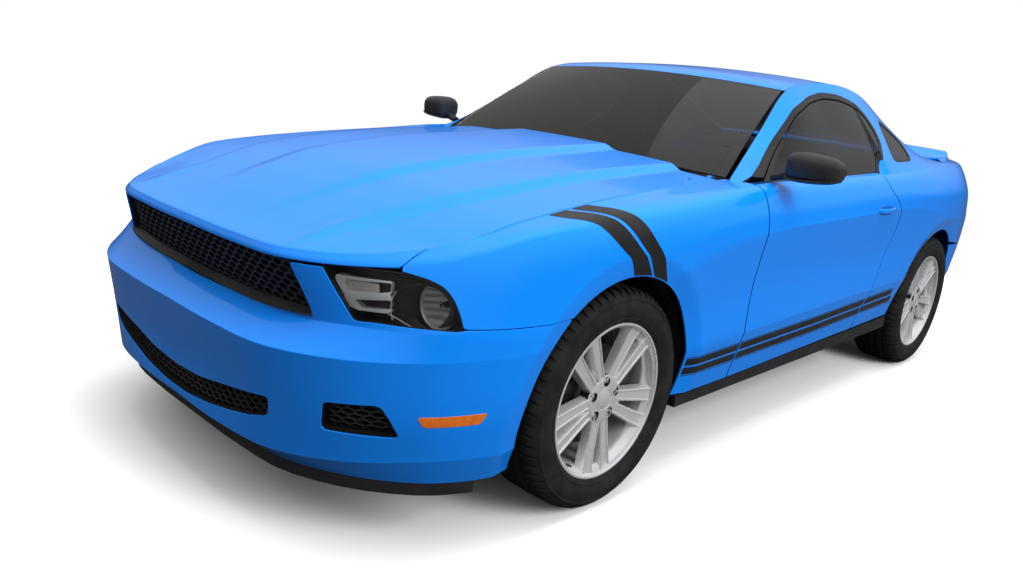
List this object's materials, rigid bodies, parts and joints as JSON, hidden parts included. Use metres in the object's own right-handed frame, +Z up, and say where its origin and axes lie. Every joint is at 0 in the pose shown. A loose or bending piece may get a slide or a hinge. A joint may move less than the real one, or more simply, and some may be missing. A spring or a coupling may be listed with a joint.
{
  "type": "two-door muscle car",
  "caption": "Blue two-door fastback coupe with a long domed hood, dark grille, tinted glass, alloy wheels, opening doors, hood and boot lid and steered front wheels.",
  "frame": {"origin": "on the ground under the middle of the car's length and width", "axes": "+X forward, +Y to the car's left, +Z up"},
  "size_m": [4.7784, 2.1514, 1.41],
  "materials": {
    "paint": "gloss metallic blue paint",
    "black_trim": "satin black plastic",
    "glass": "dark tinted glass",
    "tyre": "black rubber",
    "alloy": "silver painted alloy",
    "steel": "bare steel",
    "underbody": "black coated steel",
    "iron": "cast metal",
    "lamp_clear": "clear lamp",
    "lamp_red": "red lamp",
    "lamp_amber": "amber lamp",
    "seat": "dark cloth",
    "cabin": "grained dark plastic"
  },
  "bodies": {
    "body": {"front_bumper": "paint", "front_fenders": "paint", "hinge_pillars": "underbody", "side_frames": "paint", "roof": "paint", "windshield": "glass", "hood_hinges": "underbody", "cowl": "black_trim", "quarter_panels": "paint", "rear_bumper": "paint", "tail_panel": "paint", "tail_lamps": "lamp_red", "rear_shelf": "underbody", "rear_window": "glass", "quarter_windows": "glass", "floor_pan": "underbody", "rocker_mouldings": "black_trim", "wheel_liners": "black_trim", "engine": "iron", "driveshaft": "underbody", "front_frame": "underbody", "front_suspension": "steel", "rear_axle": "underbody", "exhaust": "steel", "grilles": "black_trim", "headlamps": "lamp_clear", "side_markers": "lamp_amber", "air_dam": "black_trim", "front_seats": "seat", "rear_seat": "seat", "dashboard": "cabin", "steering_wheel": "cabin"},
    "left_door": {"left_door": "paint", "left_door_glass": "glass", "left_mirror": "black_trim"},
    "right_door": {"right_door": "paint", "right_door_glass": "glass", "right_mirror": "black_trim"},
    "hood": {"hood": "paint"},
    "decklid": {"decklid": "paint"},
    "left_knuckle": {"left_knuckle": "iron"},
    "right_knuckle": {"right_knuckle": "iron"},
    "front_left_wheel": {"front_left_tyre": "tyre", "front_left_rim": "alloy", "front_left_disc": "iron"},
    "front_right_wheel": {"front_right_tyre": "tyre", "front_right_rim": "alloy", "front_right_disc": "iron"},
    "rear_left_wheel": {"rear_left_tyre": "tyre", "rear_left_rim": "alloy", "rear_left_disc": "iron"},
    "rear_right_wheel": {"rear_right_tyre": "tyre", "rear_right_rim": "alloy", "rear_right_disc": "iron"}
  },
  "joints": [
    {"name": "left_door_hinge", "type": "hinge", "parent": "body", "child": "left_door", "pos_m": [0.656, 0.872, 0.65], "axis": [0, 0, -1], "range_deg": [0, 65]},
    {"name": "right_door_hinge", "type": "hinge", "parent": "body", "child": "right_door", "pos_m": [0.656, -0.872, 0.65], "axis": [0, 0, 1], "range_deg": [0, 65]},
    {"name": "hood_hinge", "type": "hinge", "parent": "body", "child": "hood", "pos_m": [0.745, 0, 0.985], "axis": [0, -1, 0], "range_deg": [0, 55]},
    {"name": "decklid_hinge", "type": "hinge", "parent": "body", "child": "decklid", "pos_m": [-1.482, 0, 1.08], "axis": [0, 1, 0], "range_deg": [0, 75]},
    {"name": "left_steer", "type": "hinge", "parent": "body", "child": "left_knuckle", "pos_m": [1.439, 0.764, 0.35], "axis": [0, 0, 1], "range_deg": [-35, 35]},
    {"name": "right_steer", "type": "hinge", "parent": "body", "child": "right_knuckle", "pos_m": [1.439, -0.764, 0.35], "axis": [0, 0, 1], "range_deg": [-35, 35]},
    {"name": "front_left_spin", "type": "hinge", "parent": "left_knuckle", "child": "front_left_wheel", "pos_m": [1.439, 0.786, 0.35], "axis": [0, 1, 0], "continuous": true},
    {"name": "front_right_spin", "type": "hinge", "parent": "right_knuckle", "child": "front_right_wheel", "pos_m": [1.439, -0.786, 0.35], "axis": [0, 1, 0], "continuous": true},
    {"name": "rear_left_spin", "type": "hinge", "parent": "body", "child": "rear_left_wheel", "pos_m": [-1.281, 0.786, 0.35], "axis": [0, 1, 0], "continuous": true},
    {"name": "rear_right_spin", "type": "hinge", "parent": "body", "child": "rear_right_wheel", "pos_m": [-1.281, -0.786, 0.35], "axis": [0, 1, 0], "continuous": true}
  ],
  "couplings": [
    {"joint": "right_steer", "follows": "left_steer", "ratio": 1}
  ]
}
